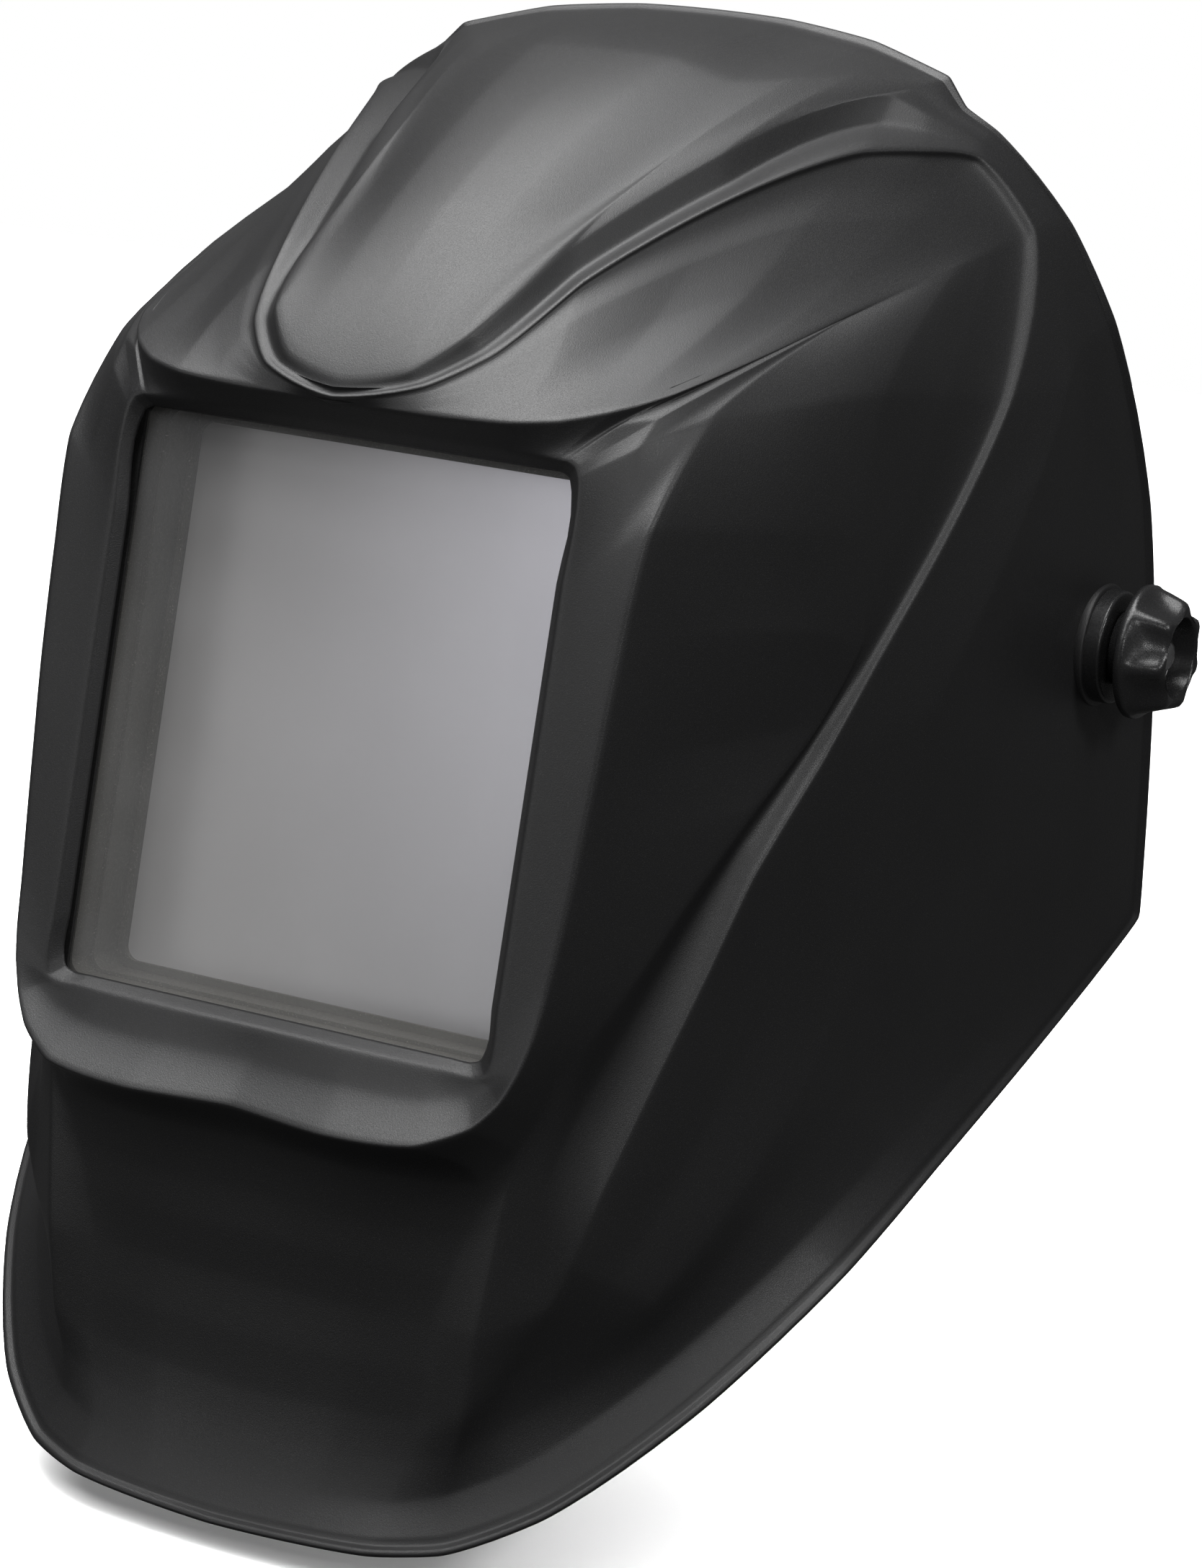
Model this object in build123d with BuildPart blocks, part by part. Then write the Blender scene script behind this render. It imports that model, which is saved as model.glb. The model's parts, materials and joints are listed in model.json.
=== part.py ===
"""Welding helmet with a flip-up shell, a passive lens stack and ratchet headgear.

Millimetres. +Z is up and -Y is the way the wearer looks. The origin is the middle of
the pivot axis, which runs along X through the two tension knobs.
"""

import os
from math import cos, hypot, pi, radians, sin

from build123d import *

# ---------------------------------------------------------------- driving dimensions
WALL = 2.5                     # moulded shell wall

# Lens stack, measured in the lens plane: x across, v up the window, n out of it
LENS_LEAN = 4.0                # the window leans back by this many degrees
WINDOW_CENTRE = (0, -183.4, -27.4)
WINDOW_W, WINDOW_H, WINDOW_R = 108.2, 127.0, 3.0
BEVEL_ANGLE = 40.0             # slope of the window's outer bevel
LENS_W, LENS_H = 114.3, 133.35  # a 4.5 x 5.25 in plate
FACE_N = 2.4                   # outer face of the bezel
SEAT_N = -2.4                  # inner face of the front wall, where the holder sits
GASKET_T, COVER_T = 0.9, 1.5
LEDGE_N, LEDGE_T = -21.5, 1.5
FILTER_T, INNER_COVER_T = 3.0, 1.2
RETAINER_T, RETAINER_INSET = 2.5, 2.0
LENS_R, FILTER_R = 2.0, 1.5     # corner radii of the plates
SHOULDER = 0.6                 # the gasket stands back this far from the window edge
HOLDER_W, HOLDER_H, HOLDER_R = 124.0, 137.6, 6.0
FLANGE_GROW, FLANGE_T, FLANGE_CORNER_R = 6.0, 3.0, 10.0
SEAT_DEPTH = 27.0              # depth of the clear space for the holder behind the wall
CLIP_FOOT, CLIP_HOOK, CLIP_LENGTH, CLIP_VS = 2.4, 2.0, 12.0, (-36.0, 50.0)
LATCH_X, LATCH_REACH, LATCH_TAIL, LATCH_W, LATCH_T = 66.0, 11.0, 4.0, 8.0, 2.5
LATCH_SCREW_R, LATCH_SCREW_L = 1.5, 14.0
LATCH_HEAD_R, LATCH_HEAD_T = 3.0, 1.8
LATCH_POST_R, LATCH_POST_PLAY = 4.2, 1.4
LATCH_FREE = 0.2               # free space each side of a latch, along its screw
RUNNING = 0.06                 # radial clearance of a shaft in its hole
GAP = 0.3                      # free space between pieces of two bodies
THROUGH = 10.0                 # a cut this long passes right through a wall

# Pivot stack, measured along X from the middle of the helmet
PLATE_IN, PLATE_T = 80.0, 2.6
BLOCK_OUT = 96.0
BLOCK_SIDE, NECK_SIDE, CAP_SIDE = 22.0, 12.0, 20.0
FORE_AFT = 10.0                # travel of the pivot each way
DISC_T, DISC_R = 3.0, 16.0
TAB_T = 7.5                    # the disc's tab reaches out to the lug
PEG_HOLE_R, PEG_HOLE_SPAN, PEG_HOLES = 1.2, 12.5, 6
WASHER_R = 12.0
BOSS_IN, BOSS_OUT, BOSS_R = 105.5, 110.3, 15.0
COLLAR_R, COLLAR_T, COLLAR_EDGE_R = 13.75, 4.0, 0.8
BUSH_R, STUD_R, STUD_DEPTH, STUD_DOME_R = 5.0, 4.0, 12.0, 2.2
KNOB_BACK, KNOB_FRONT = 118.6, 130.2
KNOB_R, KNOB_NECK_R, KNOB_NOSE_R, KNOB_WELL_R = 16.3, 9.0, 12.6, 9.6
KNOB_WELL_DEPTH = 6.5
KNOB_SCALLOPS, SCALLOP_R, SCALLOP_OUT, SCALLOP_TAPER = 7, 7.9, 2.2, 30.5
KNOB_RIM, KNOB_RIM_SHRINK, KNOB_FOOT_BAND = 3.0, 0.3, 2.0
INSERT_R = 6.5                 # corner radius of the hexagonal insert
STUD_END = 127.5
LUG_Y, LUG_W, LUG_H, LUG_DEPTH = -23.0, 7.0, 6.0, 7.0

# Headband oval: two half ellipses joined by straight sides
OVAL_A, FRONT_B, REAR_B = 79.0, 77.0, 84.0
FRONT_CENTRE_Y, REAR_CENTRE_Y = -15.0, 20.0
BAND_T = 2.0
FRONT_BAND_Z = (20.0, 52.0)
FRONT_BAND_END = 40.0
VENT_COUNT, VENT_PITCH, VENT_L, VENT_W = 5, 22.0, 14.0, 5.0
REAR_BAND_Z = (-42.0, -16.0)
REAR_BAND_END = 8.0
REAR_BAND_SHIFT = -0.4         # the rear band runs this much further in than the front
SWEATBAND_T, SWEATBAND_END = 5.5, -34.0
PAD_OVERHANG = 3.0             # the pads stand this far past their bands, up and down
SEAM = 0.1                     # room between a pad and its band
REAR_PAD_T, REAR_PAD_HALF, REAR_PAD_FROM = 6.0, 42.0, 60.0
STRAP_T, STRAP_W, STRAP_TOP, STRAP_X, STRAP_FOOT = 1.6, 16.0, 110.0, 76.2, 24.0
STRAP_SHOULDER = 56.0
STRAP_HOLE_R, STRAP_HOLES = 1.6, (34.0, 40.0, 46.0, 52.0)
BRIDGE_W, BRIDGE_INSET, BRIDGE_R = 20.0, 6.0, 4.0
LOOP_T, LOOP_H, LOOP_Z = 1.6, 6.0, 27.0
GUIDE_Y, GUIDE_LENGTH, GUIDE_T = 14.0, 10.0, 1.8
GUIDE_PLAY = 0.9               # room for the band's bend as it slides past
STRAP_YS = {"crown_strap_front": -20.0, "crown_strap_rear": 26.0}

# Ratchet box on the back of the rear band
RATCHET_Z = -29.0
BOX_R, SCREW_INSET, COVER_SCREW_R = 6.0, 10.0, 1.2
BOX_HALF_X, BOX_HALF_Z, BOX_WALL = 31.0, 17.0, 2.0
BOX_FRONT, BOX_FLOOR, BOX_BACK, COVER_BACK = 96.0, 107.5, 116.0, 119.0
MODULE, PINION_TEETH = 1.0, 12
TOOTH_HALF, ADDENDUM, ROOT = 0.52, 0.75, 1.1
RACK_Y = (109.0, 113.0)
RACK_LENGTH, RACK_DEPTH, RACK_CENTRE, RACK_TEETH = 34.0, 5.0, 5.0, 10
RATCHET_KNOB_Y = (119.4, 133.0)
RATCHET_KNOB_R, RATCHET_LOBES, LOBE_R, LOBE_OUT, LOBE_EDGE = 18.0, 8, 5.2, 3.6, 1.2
SHAFT_R, SHAFT_TIP_R = 3.5, 2.5

os.makedirs("parts", exist_ok=True)

LEAN = radians(LENS_LEAN)
LENS_NORMAL = (0, -cos(LEAN), sin(LEAN))
LENS_PLANE = Plane(origin=WINDOW_CENTRE, x_dir=(1, 0, 0), z_dir=LENS_NORMAL)
SIDES = {"left": -1, "right": 1}


def lens_plane(n):
    """The plane parallel to the lens at height n, looking out of the helmet."""
    return LENS_PLANE.offset(n)


def side_plane(side, x):
    """The plane across X at distance x on one side, facing away from the head."""
    return Plane(origin=(side * x, 0, 0), x_dir=(0, side, 0), z_dir=(side, 0, 0))


def front_plane(y):
    """The upright plane at depth y, facing forwards: local axes are X and Z."""
    return Plane(origin=(0, y, 0), x_dir=(1, 0, 0), z_dir=(0, -1, 0))


def back_plane(y):
    """The upright plane at depth y, facing backwards: local axes are -X and Z."""
    return Plane(origin=(0, y, 0), x_dir=(-1, 0, 0), z_dir=(0, 1, 0))


def save(builder, name):
    """Label a finished piece and write it as its own file."""
    builder.part.label = name
    export_step(builder.part, f"parts/{name}.step")


# ---------------------------------------------------------------- helmet shell
# Half outlines from the top centre down the side, as (x, height) points. The first
# lies in the lens plane and is the bezel's face; the others are upright slices.
BEZEL_OUTLINE = [(0, 75), (40, 76), (62, 69), (73, 47), (74, 10), (71, -40),
                 (67, -72), (54, -84), (30, -87)]
SLICES = {
    -176: [(0, 64), (30, 60), (62, 50), (75, 30), (77, -10), (73, -60),
           (69, -100), (66, -150), (64, -225)],
    -150: [(0, 91), (38, 82), (66, 64), (80, 48), (84, 0), (83, -60),
           (81, -110), (86, -165), (90, -225)],
    -115: [(0, 113), (44, 103), (70, 86), (87, 66), (93, 10), (94, -50),
           (95, -100), (105, -145), (110, -225)],
    -75: [(0, 132), (46, 124), (72, 109), (92, 86), (100, 40), (103, -20),
          (105, -80), (110, -125), (115, -225)],
    -28: [(0, 139), (46, 136), (72, 124), (95, 101), (106, 50), (108.5, 0),
          (110, -60), (112, -110), (116, -225)],
    50: [(0, 140), (46, 137), (76, 122), (100, 96), (109, 55), (111.5, 0),
         (113, -60), (114, -110), (117, -225)],
}
REAR_EDGE = [(-29, 150), (-31, 139), (-34, 127), (-33, 117), (-26, 107), (-20, 90),
             (-10, 78), (4, 60), (15, 37), (25, 16), (34, -8), (40, -40), (43, -71)]
BOTTOM_EDGE = [(43, -71), (9, -87), (-29, -104), (-65, -121), (-97, -138),
               (-131, -163), (-159, -188), (-172, -199), (-179, -207), (-225, -217)]
LIP_PROFILE = [(-188, -90), (-194, -97), (-203, -107), (-203, -111), (-188, -117)]
LIP_HALF = 50.0


def pull_in(half, depth):
    """Move a half outline inwards, square to the line between its neighbours."""
    moved = []
    for i, (x, h) in enumerate(half):
        x0, h0 = half[i - 1] if i else (-half[1][0], half[1][1])
        x1, h1 = half[i + 1] if i + 1 < len(half) else (x, h - 1)
        run, rise = x1 - x0, h1 - h0
        length = hypot(run, rise)
        moved.append((x + depth * rise / length, h - depth * run / length))
    return moved


def outline_face(half):
    """Draw the closed section through a half outline and its mirror image."""
    across = [(-x, h) for x, h in reversed(half[1:])] + half
    with BuildLine() as section:
        Spline(*across)
        Line(across[-1], across[0])
    make_face(section.line)


def shell_sections(inset):
    """The closed sections of the shell's form, from the bezel to behind the ears."""
    with BuildSketch(lens_plane(SEAT_N if inset else FACE_N)) as bezel:
        outline_face(pull_in(BEZEL_OUTLINE, inset))
    sections = [bezel.sketch]
    for y, half in SLICES.items():
        with BuildSketch(front_plane(y)) as cut:
            outline_face(pull_in(half, inset))
        sections.append(cut.sketch)
    return sections


with BuildPart() as helmet_shell:
    loft(shell_sections(0), ruled=True)
    with BuildSketch(Plane.YZ.offset(-150)):
        with BuildLine():
            Polyline(*REAR_EDGE, *BOTTOM_EDGE[1:], (-225, 150), close=True)
        make_face()
    extrude(amount=300, mode=Mode.INTERSECT)
    loft(shell_sections(WALL), ruled=True, mode=Mode.SUBTRACT)
    with BuildSketch(Plane.YZ):
        with BuildLine():
            Polyline(*LIP_PROFILE, close=True)
        make_face()
    extrude(amount=LIP_HALF, both=True)
    for side in SIDES.values():
        with BuildSketch(side_plane(side, BOSS_IN)):
            Circle(BOSS_R)
        extrude(amount=BOSS_OUT - BOSS_IN)
        with BuildSketch(side_plane(side, BOSS_OUT)):
            Circle(BOSS_R)
        extrude(amount=THROUGH, mode=Mode.SUBTRACT)
        with BuildSketch(side_plane(side, BOSS_IN - 1)):
            Circle(BUSH_R + RUNNING)
        extrude(amount=THROUGH, mode=Mode.SUBTRACT)
    with Locations((BOSS_IN + 1.5 - LUG_DEPTH / 2, LUG_Y, LUG_H / 2)):
        Box(LUG_DEPTH, LUG_W, LUG_H)
    with BuildSketch(lens_plane(SEAT_N - SEAT_DEPTH)):
        RectangleRounded(HOLDER_W + FLANGE_GROW, HOLDER_H, FLANGE_CORNER_R)
    extrude(amount=SEAT_DEPTH, mode=Mode.SUBTRACT)
    with BuildSketch(lens_plane(SEAT_N)):
        RectangleRounded(WINDOW_W, WINDOW_H, WINDOW_R)
    extrude(amount=THROUGH, mode=Mode.SUBTRACT)
    with BuildSketch(lens_plane(0)):
        RectangleRounded(WINDOW_W, WINDOW_H, WINDOW_R)
    extrude(amount=THROUGH, taper=-BEVEL_ANGLE, mode=Mode.SUBTRACT)
save(helmet_shell, "helmet_shell")

# ---------------------------------------------------------------- lens stack
HOLDER_BACK = LEDGE_N - LEDGE_T - FILTER_T - INNER_COVER_T
POCKET = 0.35                  # play around a lens in its pocket
POCKET_W, POCKET_H = LENS_W + 2 * POCKET, LENS_H + 2 * POCKET
COVER_N = SEAT_N - GASKET_T    # front face of the cover lens
TUNNEL_STEP_N = -12.0
TUNNEL_GROW, TUNNEL_FLOOR_GROW = 2.2, 0.2
LEDGE_W, LEDGE_H, LEDGE_R = 104.6, 123.4, 3.5


def plate(n_front, n_back, width, height, radius, mode=Mode.ADD):
    """Add or cut a rounded plate between two heights over the lens plane."""
    with BuildSketch(lens_plane(n_back)) as face:
        RectangleRounded(width, height, radius)
    extrude(face.sketch, amount=n_front - n_back, mode=mode)


with BuildPart() as lens_gasket:
    plate(SEAT_N, COVER_N, LENS_W, LENS_H, LENS_R)
    plate(SEAT_N, COVER_N, WINDOW_W + 2 * SHOULDER, WINDOW_H + 2 * SHOULDER, LENS_R,
          Mode.SUBTRACT)
save(lens_gasket, "lens_gasket")

with BuildPart() as front_cover_lens:
    plate(COVER_N, COVER_N - COVER_T, LENS_W, LENS_H, LENS_R)
save(front_cover_lens, "front_cover_lens")

with BuildPart() as lens_holder:
    plate(SEAT_N, SEAT_N - FLANGE_T, HOLDER_W + FLANGE_GROW, HOLDER_H, FLANGE_CORNER_R)
    plate(SEAT_N, HOLDER_BACK, HOLDER_W, HOLDER_H, HOLDER_R)
    for side in SIDES.values():
        with BuildSketch(lens_plane(HOLDER_BACK - RETAINER_T)):
            with Locations((side * LATCH_X, 0)):
                Circle(LATCH_POST_R)
        extrude(amount=SEAT_N - HOLDER_BACK + RETAINER_T)
    plate(SEAT_N, COVER_N - COVER_T, POCKET_W, POCKET_H, LENS_R, Mode.SUBTRACT)
    plate(SEAT_N, TUNNEL_STEP_N, WINDOW_W + TUNNEL_GROW, WINDOW_H + TUNNEL_GROW, LEDGE_R,
          Mode.SUBTRACT)
    plate(SEAT_N, LEDGE_N, WINDOW_W + TUNNEL_FLOOR_GROW, WINDOW_H + TUNNEL_FLOOR_GROW, LEDGE_R,
          Mode.SUBTRACT)
    plate(SEAT_N, HOLDER_BACK, LEDGE_W, LEDGE_H, LEDGE_R, Mode.SUBTRACT)
    plate(LEDGE_N - LEDGE_T, HOLDER_BACK, POCKET_W, POCKET_H, LENS_R, Mode.SUBTRACT)
    for side in SIDES.values():
        with BuildSketch(lens_plane(HOLDER_BACK - RETAINER_T)):
            with Locations((side * LATCH_X, 0)):
                Circle(LATCH_SCREW_R)
        extrude(amount=LATCH_SCREW_L, mode=Mode.SUBTRACT)
save(lens_holder, "lens_holder")

with BuildPart() as holder_clips:
    clip_x = HOLDER_W / 2 + GAP
    clip_w = FLANGE_GROW / 2 + CLIP_FOOT
    for side in SIDES.values():
        for v in CLIP_VS:
            centre_x = side * (clip_x + clip_w / 2)
            with BuildSketch(lens_plane(SEAT_N - FLANGE_T - CLIP_HOOK)):
                with Locations((centre_x, v)):
                    Rectangle(clip_w, CLIP_LENGTH)
            extrude(amount=CLIP_HOOK)
            with BuildSketch(lens_plane(SEAT_N - FLANGE_T)):
                with Locations((side * (clip_x + clip_w - CLIP_FOOT / 2), v)):
                    Rectangle(CLIP_FOOT, CLIP_LENGTH)
            extrude(amount=FLANGE_T)
save(holder_clips, "holder_clips")

FILTER_N = LEDGE_N - LEDGE_T
with BuildPart() as filter_lens:
    plate(FILTER_N, FILTER_N - FILTER_T, LENS_W, LENS_H, FILTER_R)
save(filter_lens, "filter_lens")

with BuildPart() as inner_cover_lens:
    plate(FILTER_N - FILTER_T, HOLDER_BACK, LENS_W, LENS_H, FILTER_R)
save(inner_cover_lens, "inner_cover_lens")

with BuildPart() as lens_retainer:
    plate(HOLDER_BACK, HOLDER_BACK - RETAINER_T, HOLDER_W - RETAINER_INSET,
          HOLDER_H - RETAINER_INSET, LEDGE_R)
    plate(HOLDER_BACK, HOLDER_BACK - RETAINER_T, LEDGE_W, LEDGE_H, LEDGE_R, Mode.SUBTRACT)
    for side in SIDES.values():
        with BuildSketch(lens_plane(HOLDER_BACK - RETAINER_T)):
            with Locations((side * LATCH_X, 0)):
                Circle(LATCH_POST_R + LATCH_POST_PLAY)
        extrude(amount=RETAINER_T, mode=Mode.SUBTRACT)
save(lens_retainer, "lens_retainer")

LATCH_FRONT = HOLDER_BACK - RETAINER_T - LATCH_FREE
for name, side in SIDES.items():
    with BuildPart() as lens_latch:
        with BuildSketch(lens_plane(LATCH_FRONT - LATCH_T)):
            with Locations((side * (LATCH_X - (LATCH_REACH - LATCH_TAIL) / 2), 0)):
                RectangleRounded(LATCH_REACH + LATCH_TAIL, LATCH_W, 2.5)
            with Locations((side * LATCH_X, 0)):
                Circle(LATCH_SCREW_R + RUNNING, mode=Mode.SUBTRACT)
        extrude(amount=LATCH_T)
    save(lens_latch, f"{name}_lens_latch")

with BuildPart() as latch_screws:
    for side in SIDES.values():
        screw_back = LATCH_FRONT - LATCH_T - LATCH_FREE
        with BuildSketch(lens_plane(screw_back)):
            with Locations((side * LATCH_X, 0)):
                Circle(LATCH_SCREW_R)
        extrude(amount=LATCH_SCREW_L)
        with BuildSketch(lens_plane(screw_back)):
            with Locations((side * LATCH_X, 0)):
                Circle(LATCH_HEAD_R)
        extrude(amount=-LATCH_HEAD_T)
        with BuildSketch(lens_plane(screw_back - LATCH_HEAD_T)):
            with Locations((side * LATCH_X, 0)):
                Rectangle(4.4, 0.8)
        extrude(amount=LATCH_HEAD_T / 2, mode=Mode.SUBTRACT)
save(latch_screws, "latch_screws")

# ---------------------------------------------------------------- pivots and knobs
COLLAR_FRONT = BOSS_OUT + COLLAR_T
KNOB_FOOT = COLLAR_FRONT + 0.25
WASHER_IN = BLOCK_OUT + DISC_T + 2 * GAP

for name, side in SIDES.items():
    with BuildPart() as collar:
        with BuildSketch(side_plane(side, BOSS_OUT)):
            Circle(COLLAR_R)
            Circle(BUSH_R + RUNNING, mode=Mode.SUBTRACT)
        extrude(amount=COLLAR_T)
        fillet(collar.edges().group_by(Axis.X)[-1 if side > 0 else 0].sort_by(SortBy.RADIUS)[-1],
               COLLAR_EDGE_R)
    save(collar, f"{name}_collar")

    with BuildPart() as slide_block:
        with BuildSketch(side_plane(side, PLATE_IN + PLATE_T + GAP)):
            RectangleRounded(BLOCK_SIDE, BLOCK_SIDE, 3)
        extrude(amount=BLOCK_OUT - PLATE_IN - PLATE_T - GAP)
        with BuildSketch(side_plane(side, PLATE_IN - GAP)):
            Rectangle(NECK_SIDE, NECK_SIDE)
        extrude(amount=PLATE_T + 2 * GAP)
        with BuildSketch(side_plane(side, PLATE_IN - GAP)):
            RectangleRounded(CAP_SIDE, CAP_SIDE, 3)
        extrude(amount=-2.5)
        with BuildSketch(side_plane(side, BLOCK_OUT)):
            Circle(STUD_R)
        extrude(amount=-STUD_DEPTH, mode=Mode.SUBTRACT)
    save(slide_block, f"{name}_slide_block")

    with BuildPart() as stud:
        with BuildSketch(side_plane(side, BLOCK_OUT - STUD_DEPTH)):
            Circle(STUD_R)
        extrude(amount=STUD_END - BLOCK_OUT + STUD_DEPTH)
        fillet(stud.edges().group_by(Axis.X)[-1 if side > 0 else 0], STUD_DOME_R)
    save(stud, f"{name}_stud")

    with BuildPart() as inner_washer:
        with BuildSketch(side_plane(side, WASHER_IN)):
            Circle(WASHER_R)
            Circle(STUD_R, mode=Mode.SUBTRACT)
        extrude(amount=BOSS_IN - GAP - WASHER_IN)
    save(inner_washer, f"{name}_inner_washer")

    with BuildPart() as pivot_bush:
        with BuildSketch(side_plane(side, BOSS_IN - GAP)):
            Circle(BUSH_R)
            Circle(STUD_R, mode=Mode.SUBTRACT)
        extrude(amount=COLLAR_FRONT - BOSS_IN)
    save(pivot_bush, f"{name}_pivot_bush")

    with BuildPart() as tension_knob:
        with BuildSketch(side_plane(side, KNOB_BACK)):
            Circle(KNOB_R)
        with BuildSketch(side_plane(side, KNOB_BACK + KNOB_RIM)):
            Circle(KNOB_R - KNOB_RIM_SHRINK)
        with BuildSketch(side_plane(side, KNOB_FRONT)):
            Circle(KNOB_NOSE_R)
        loft(ruled=True)
        with BuildSketch(side_plane(side, KNOB_FRONT)):
            with PolarLocations(KNOB_R + SCALLOP_OUT, KNOB_SCALLOPS):
                Circle(SCALLOP_R)
        extrude(amount=KNOB_BACK - KNOB_FRONT + KNOB_FOOT_BAND, taper=SCALLOP_TAPER,
                mode=Mode.SUBTRACT)
        with BuildSketch(side_plane(side, KNOB_FOOT)):
            Circle(KNOB_NECK_R)
        extrude(amount=KNOB_BACK - KNOB_FOOT)
        with BuildSketch(side_plane(side, KNOB_FRONT)):
            Circle(KNOB_WELL_R)
        extrude(amount=-KNOB_WELL_DEPTH, mode=Mode.SUBTRACT)
        with BuildSketch(side_plane(side, KNOB_FOOT)):
            RegularPolygon(INSERT_R, 6)
        extrude(amount=KNOB_FRONT - KNOB_FOOT, mode=Mode.SUBTRACT)
    save(tension_knob, f"{name}_tension_knob")

    with BuildPart() as knob_insert:
        with BuildSketch(side_plane(side, KNOB_FOOT)):
            RegularPolygon(INSERT_R, 6)
            Circle(STUD_R + RUNNING, mode=Mode.SUBTRACT)
        extrude(amount=KNOB_FRONT - KNOB_WELL_DEPTH + 1 - KNOB_FOOT)
    save(knob_insert, f"{name}_knob_insert")

tab_end = LUG_Y - LUG_W / 2
with BuildPart() as tilt_stop_disc:
    with BuildSketch(side_plane(1, BLOCK_OUT + GAP)):
        Circle(DISC_R)
        with Locations((tab_end / 2, -LUG_H / 2 - GAP)):
            Rectangle(-tab_end, LUG_H)
        Circle(STUD_R + RUNNING, mode=Mode.SUBTRACT)
    extrude(amount=DISC_T)
    with BuildSketch(side_plane(1, BLOCK_OUT + GAP)):
        with Locations((LUG_Y, -LUG_H / 2 - GAP)):
            Rectangle(LUG_W, LUG_H)
    extrude(amount=TAB_T)
    with BuildSketch(side_plane(1, BLOCK_OUT + GAP)):
        with PolarLocations(PEG_HOLE_SPAN, PEG_HOLES, start_angle=60, angular_range=150):
            Circle(PEG_HOLE_R)
    extrude(amount=DISC_T, mode=Mode.SUBTRACT)
save(tilt_stop_disc, "tilt_stop_disc")

# ---------------------------------------------------------------- headband and brackets


def oval(grow):
    """Draw the headband's oval, grown outwards by a distance."""
    a = OVAL_A + grow
    with BuildLine() as loop:
        EllipticalCenterArc((0, FRONT_CENTRE_Y), a, FRONT_B + grow, 180, arc_size=180)
        Line((a, FRONT_CENTRE_Y), (a, REAR_CENTRE_Y))
        EllipticalCenterArc((0, REAR_CENTRE_Y), a, REAR_B + grow, 0, arc_size=180)
        Line((-a, REAR_CENTRE_Y), (-a, FRONT_CENTRE_Y))
    make_face(loop.line)


def oval_ring(z_low, z_high, outer, inner):
    """Add an upright band that follows the oval between two growths."""
    with BuildSketch(Plane.XY.offset(z_low)) as full:
        oval(outer)
    with BuildSketch(Plane.XY.offset(z_low)) as hollow:
        oval(inner)
    extrude(full.sketch, amount=z_high - z_low)
    extrude(hollow.sketch, amount=z_high - z_low, mode=Mode.SUBTRACT)


def keep_y(low, high):
    """Trim the part to the slab between two depths."""
    with Locations((0, (low + high) / 2, 0)):
        Box(400, high - low, 400, mode=Mode.INTERSECT)


with BuildPart() as headband_front:
    oval_ring(*FRONT_BAND_Z, BAND_T / 2, -BAND_T / 2)
    keep_y(-200, FRONT_BAND_END)
    with BuildSketch(front_plane(SWEATBAND_END)):
        with GridLocations(VENT_PITCH, 0, VENT_COUNT, 1):
            with Locations((0, sum(FRONT_BAND_Z) / 2)):
                SlotOverall(VENT_L, VENT_W)
    extrude(amount=FRONT_B, mode=Mode.SUBTRACT)
save(headband_front, "headband_front")

BRACKET_OUTLINE = [(-34, 50), (-36, 24), (-27, -14), (6, -18), (34, -45), (60, -45),
                   (60, -13), (42, -8), (32, 14), (42, 24), (42, 50)]
RIVET_SPOTS = [(-6, 42), (-6, 28), (12, 42), (12, 28)]
RIVET_R, RIVET_HEAD_R, RIVET_HEAD_T = 2.0, 3.4, 1.2
BRACKET_CORNER_R, BRACKET_EDGE = 5.0, 0.6
SLOT_END = 12.0                # the slot is longer than the travel, for its round ends

for name, side in SIDES.items():
    with BuildPart() as side_bracket:
        with BuildSketch(side_plane(side, PLATE_IN)) as plate_sketch:
            with BuildLine():
                Polyline(*[(side * y, z) for y, z in BRACKET_OUTLINE], close=True)
            make_face()
            fillet(plate_sketch.vertices(), BRACKET_CORNER_R)
            SlotOverall(NECK_SIDE + 2 * FORE_AFT + SLOT_END, NECK_SIDE + 2 * GAP,
                        mode=Mode.SUBTRACT)
            with Locations(*[(side * y, z) for y, z in RIVET_SPOTS]):
                Circle(RIVET_R, mode=Mode.SUBTRACT)
        extrude(amount=PLATE_T)
        edge_face = side_bracket.faces().sort_by(Axis.X)[-1 if side > 0 else 0]
        chamfer(edge_face.outer_wire().edges(), BRACKET_EDGE)
    save(side_bracket, f"{name}_side_bracket")

    with BuildPart() as rivets:
        for y, z in RIVET_SPOTS:
            with BuildSketch(side_plane(side, PLATE_IN)):
                with Locations((side * y, z)):
                    Circle(RIVET_R)
            extrude(amount=PLATE_T)
            with BuildSketch(side_plane(side, PLATE_IN + PLATE_T)):
                with Locations((side * y, z)):
                    Circle(RIVET_HEAD_R)
            extrude(amount=RIVET_HEAD_T)
    save(rivets, f"{name}_bracket_rivets")

with BuildPart() as sweatband:
    oval_ring(FRONT_BAND_Z[0] - PAD_OVERHANG, FRONT_BAND_Z[1] + PAD_OVERHANG,
              -BAND_T / 2 - SEAM, -BAND_T / 2 - SEAM - SWEATBAND_T)
    keep_y(-200, SWEATBAND_END)
save(sweatband, "sweatband")

with BuildPart() as strap_loops:
    loop_x = STRAP_X - STRAP_T - GAP
    for side in SIDES.values():
        for y in STRAP_YS.values():
            for edge in (-1, 1):
                post_y = y + edge * (STRAP_W / 2 + GAP + LOOP_T / 2)
                with Locations((side * (loop_x + OVAL_A) / 2, post_y, LOOP_Z)):
                    Box(OVAL_A - loop_x, LOOP_T, LOOP_H)
            with Locations((side * (loop_x - LOOP_T / 2), y, LOOP_Z)):
                Box(LOOP_T, STRAP_W + 2 * (GAP + LOOP_T), LOOP_H)
    with BuildSketch(Plane.XY.offset(20)) as band_inside:
        oval(-BAND_T / 2 - 0.02)
    extrude(amount=40, mode=Mode.INTERSECT)
save(strap_loops, "strap_loops")

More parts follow.
